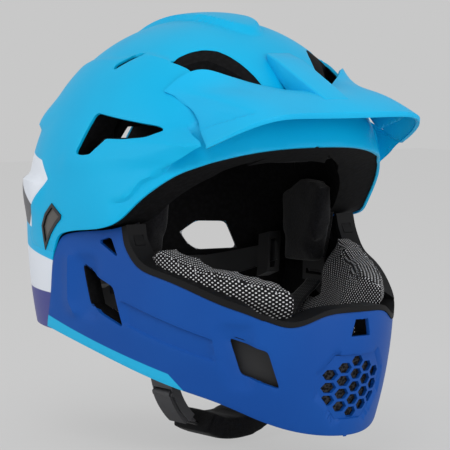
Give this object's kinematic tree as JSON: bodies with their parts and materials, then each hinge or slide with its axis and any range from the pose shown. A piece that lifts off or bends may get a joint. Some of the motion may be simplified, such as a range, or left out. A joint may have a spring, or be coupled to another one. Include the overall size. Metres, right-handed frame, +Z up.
{
  "type": "full-face bike helmet",
  "caption": "Downhill bike full-face helmet with a vented shell, a peaked visor, a detachable chin guard, padded interior, straps and a rear fit dial.",
  "frame": {"origin": "middle of the head seat, on the helmet's centre plane at the level of the ears", "axes": "+Z up towards the crown, -Y forward out of the face opening, +X towards the wearer's left"},
  "size_m": [0.2104, 0.2776, 0.2727],
  "materials": {
    "shell_cyan": "smooth gloss",
    "shell_white": "smooth gloss",
    "guard_blue": "satin",
    "foam_black": "moulded bead foam",
    "plastic_black": "moulded",
    "plastic_grey": "moulded",
    "button_grey": "moulded",
    "mesh_black": "open mesh",
    "filter_foam": "open-cell foam",
    "rubber_black": "smooth",
    "pad_fabric": "brushed knit over foam",
    "webbing": "woven webbing",
    "steel": "brushed"
  },
  "bodies": {
    "shell": {"outer_shell": "shell_cyan", "rear_shell": "shell_white", "impact_liner": "foam_black", "latch_bezel_left": "plastic_black", "latch_bezel_right": "plastic_black", "latch_spring_left": "steel", "latch_spring_right": "steel", "side_pad_left": "pad_fabric", "side_pad_right": "pad_fabric", "brow_pad": "pad_fabric", "crown_pad": "pad_fabric", "visor_sockets": "rubber_black", "cradle_guide_left": "plastic_black", "cradle_guide_right": "plastic_black", "strap_front_left": "webbing", "strap_front_right": "webbing", "strap_rear_left": "webbing", "strap_rear_right": "webbing", "strap_anchors": "plastic_black", "strap_divider_left": "plastic_black", "strap_divider_right": "plastic_black", "chin_strap_left": "webbing", "chin_strap_right": "webbing", "ratchet_tongue": "plastic_grey", "strap_keeper": "rubber_black", "chin_pad": "pad_fabric", "buckle_body": "plastic_grey"},
    "visor": {"visor": "shell_cyan"},
    "chin_guard": {"chin_shell": "guard_blue", "chin_liner": "foam_black", "chin_grille": "plastic_black", "grille_filter": "filter_foam", "port_trim": "rubber_black", "vent_screen_left": "mesh_black", "vent_screen_right": "mesh_black", "side_seal_left": "rubber_black", "side_seal_right": "rubber_black", "cheek_pad_left": "pad_fabric", "cheek_pad_right": "pad_fabric", "latch_tongue_left": "steel", "latch_tongue_right": "steel"},
    "latch_button_left": {"latch_button_left": "button_grey"},
    "latch_button_right": {"latch_button_right": "button_grey"},
    "cradle": {"cradle": "plastic_black", "cradle_housing": "plastic_black"},
    "dial": {"dial": "rubber_black", "dial_pinion": "plastic_grey"},
    "buckle_lever": {"buckle_lever": "plastic_grey"}
  },
  "joints": [
    {"name": "visor_pull", "type": "slide", "parent": "shell", "child": "visor", "axis": [0, -1, 0], "range_m": [0, 0.06]},
    {"name": "chin_guard_pull", "type": "slide", "parent": "shell", "child": "chin_guard", "axis": [0, -1, 0], "range_m": [0, 0.2]},
    {"name": "button_left_press", "type": "slide", "parent": "shell", "child": "latch_button_left", "axis": [-1, 0, 0], "range_m": [0, 0.002], "stiffness_N_per_m": 1500},
    {"name": "button_right_press", "type": "slide", "parent": "shell", "child": "latch_button_right", "axis": [1, 0, 0], "range_m": [0, 0.002], "stiffness_N_per_m": 1500},
    {"name": "cradle_slide", "type": "slide", "parent": "shell", "child": "cradle", "axis": [0, -1, 0], "range_m": [0, 0.008]},
    {"name": "dial_turn", "type": "hinge", "parent": "cradle", "child": "dial", "pos_m": [0, 0.09, -0.0525], "axis": [0, 1, 0], "range_deg": [0, 900]},
    {"name": "lever_lift", "type": "hinge", "parent": "shell", "child": "buckle_lever", "pos_m": [-0.04636, -0.013, -0.07873], "axis": [0, 1, 0], "range_deg": [0, 25], "stiffness_Nm_per_rad": 0.2}
  ],
  "couplings": [
    {"joint": "dial_turn", "follows": "cradle_slide", "rad_per_m": 1963.5}
  ]
}
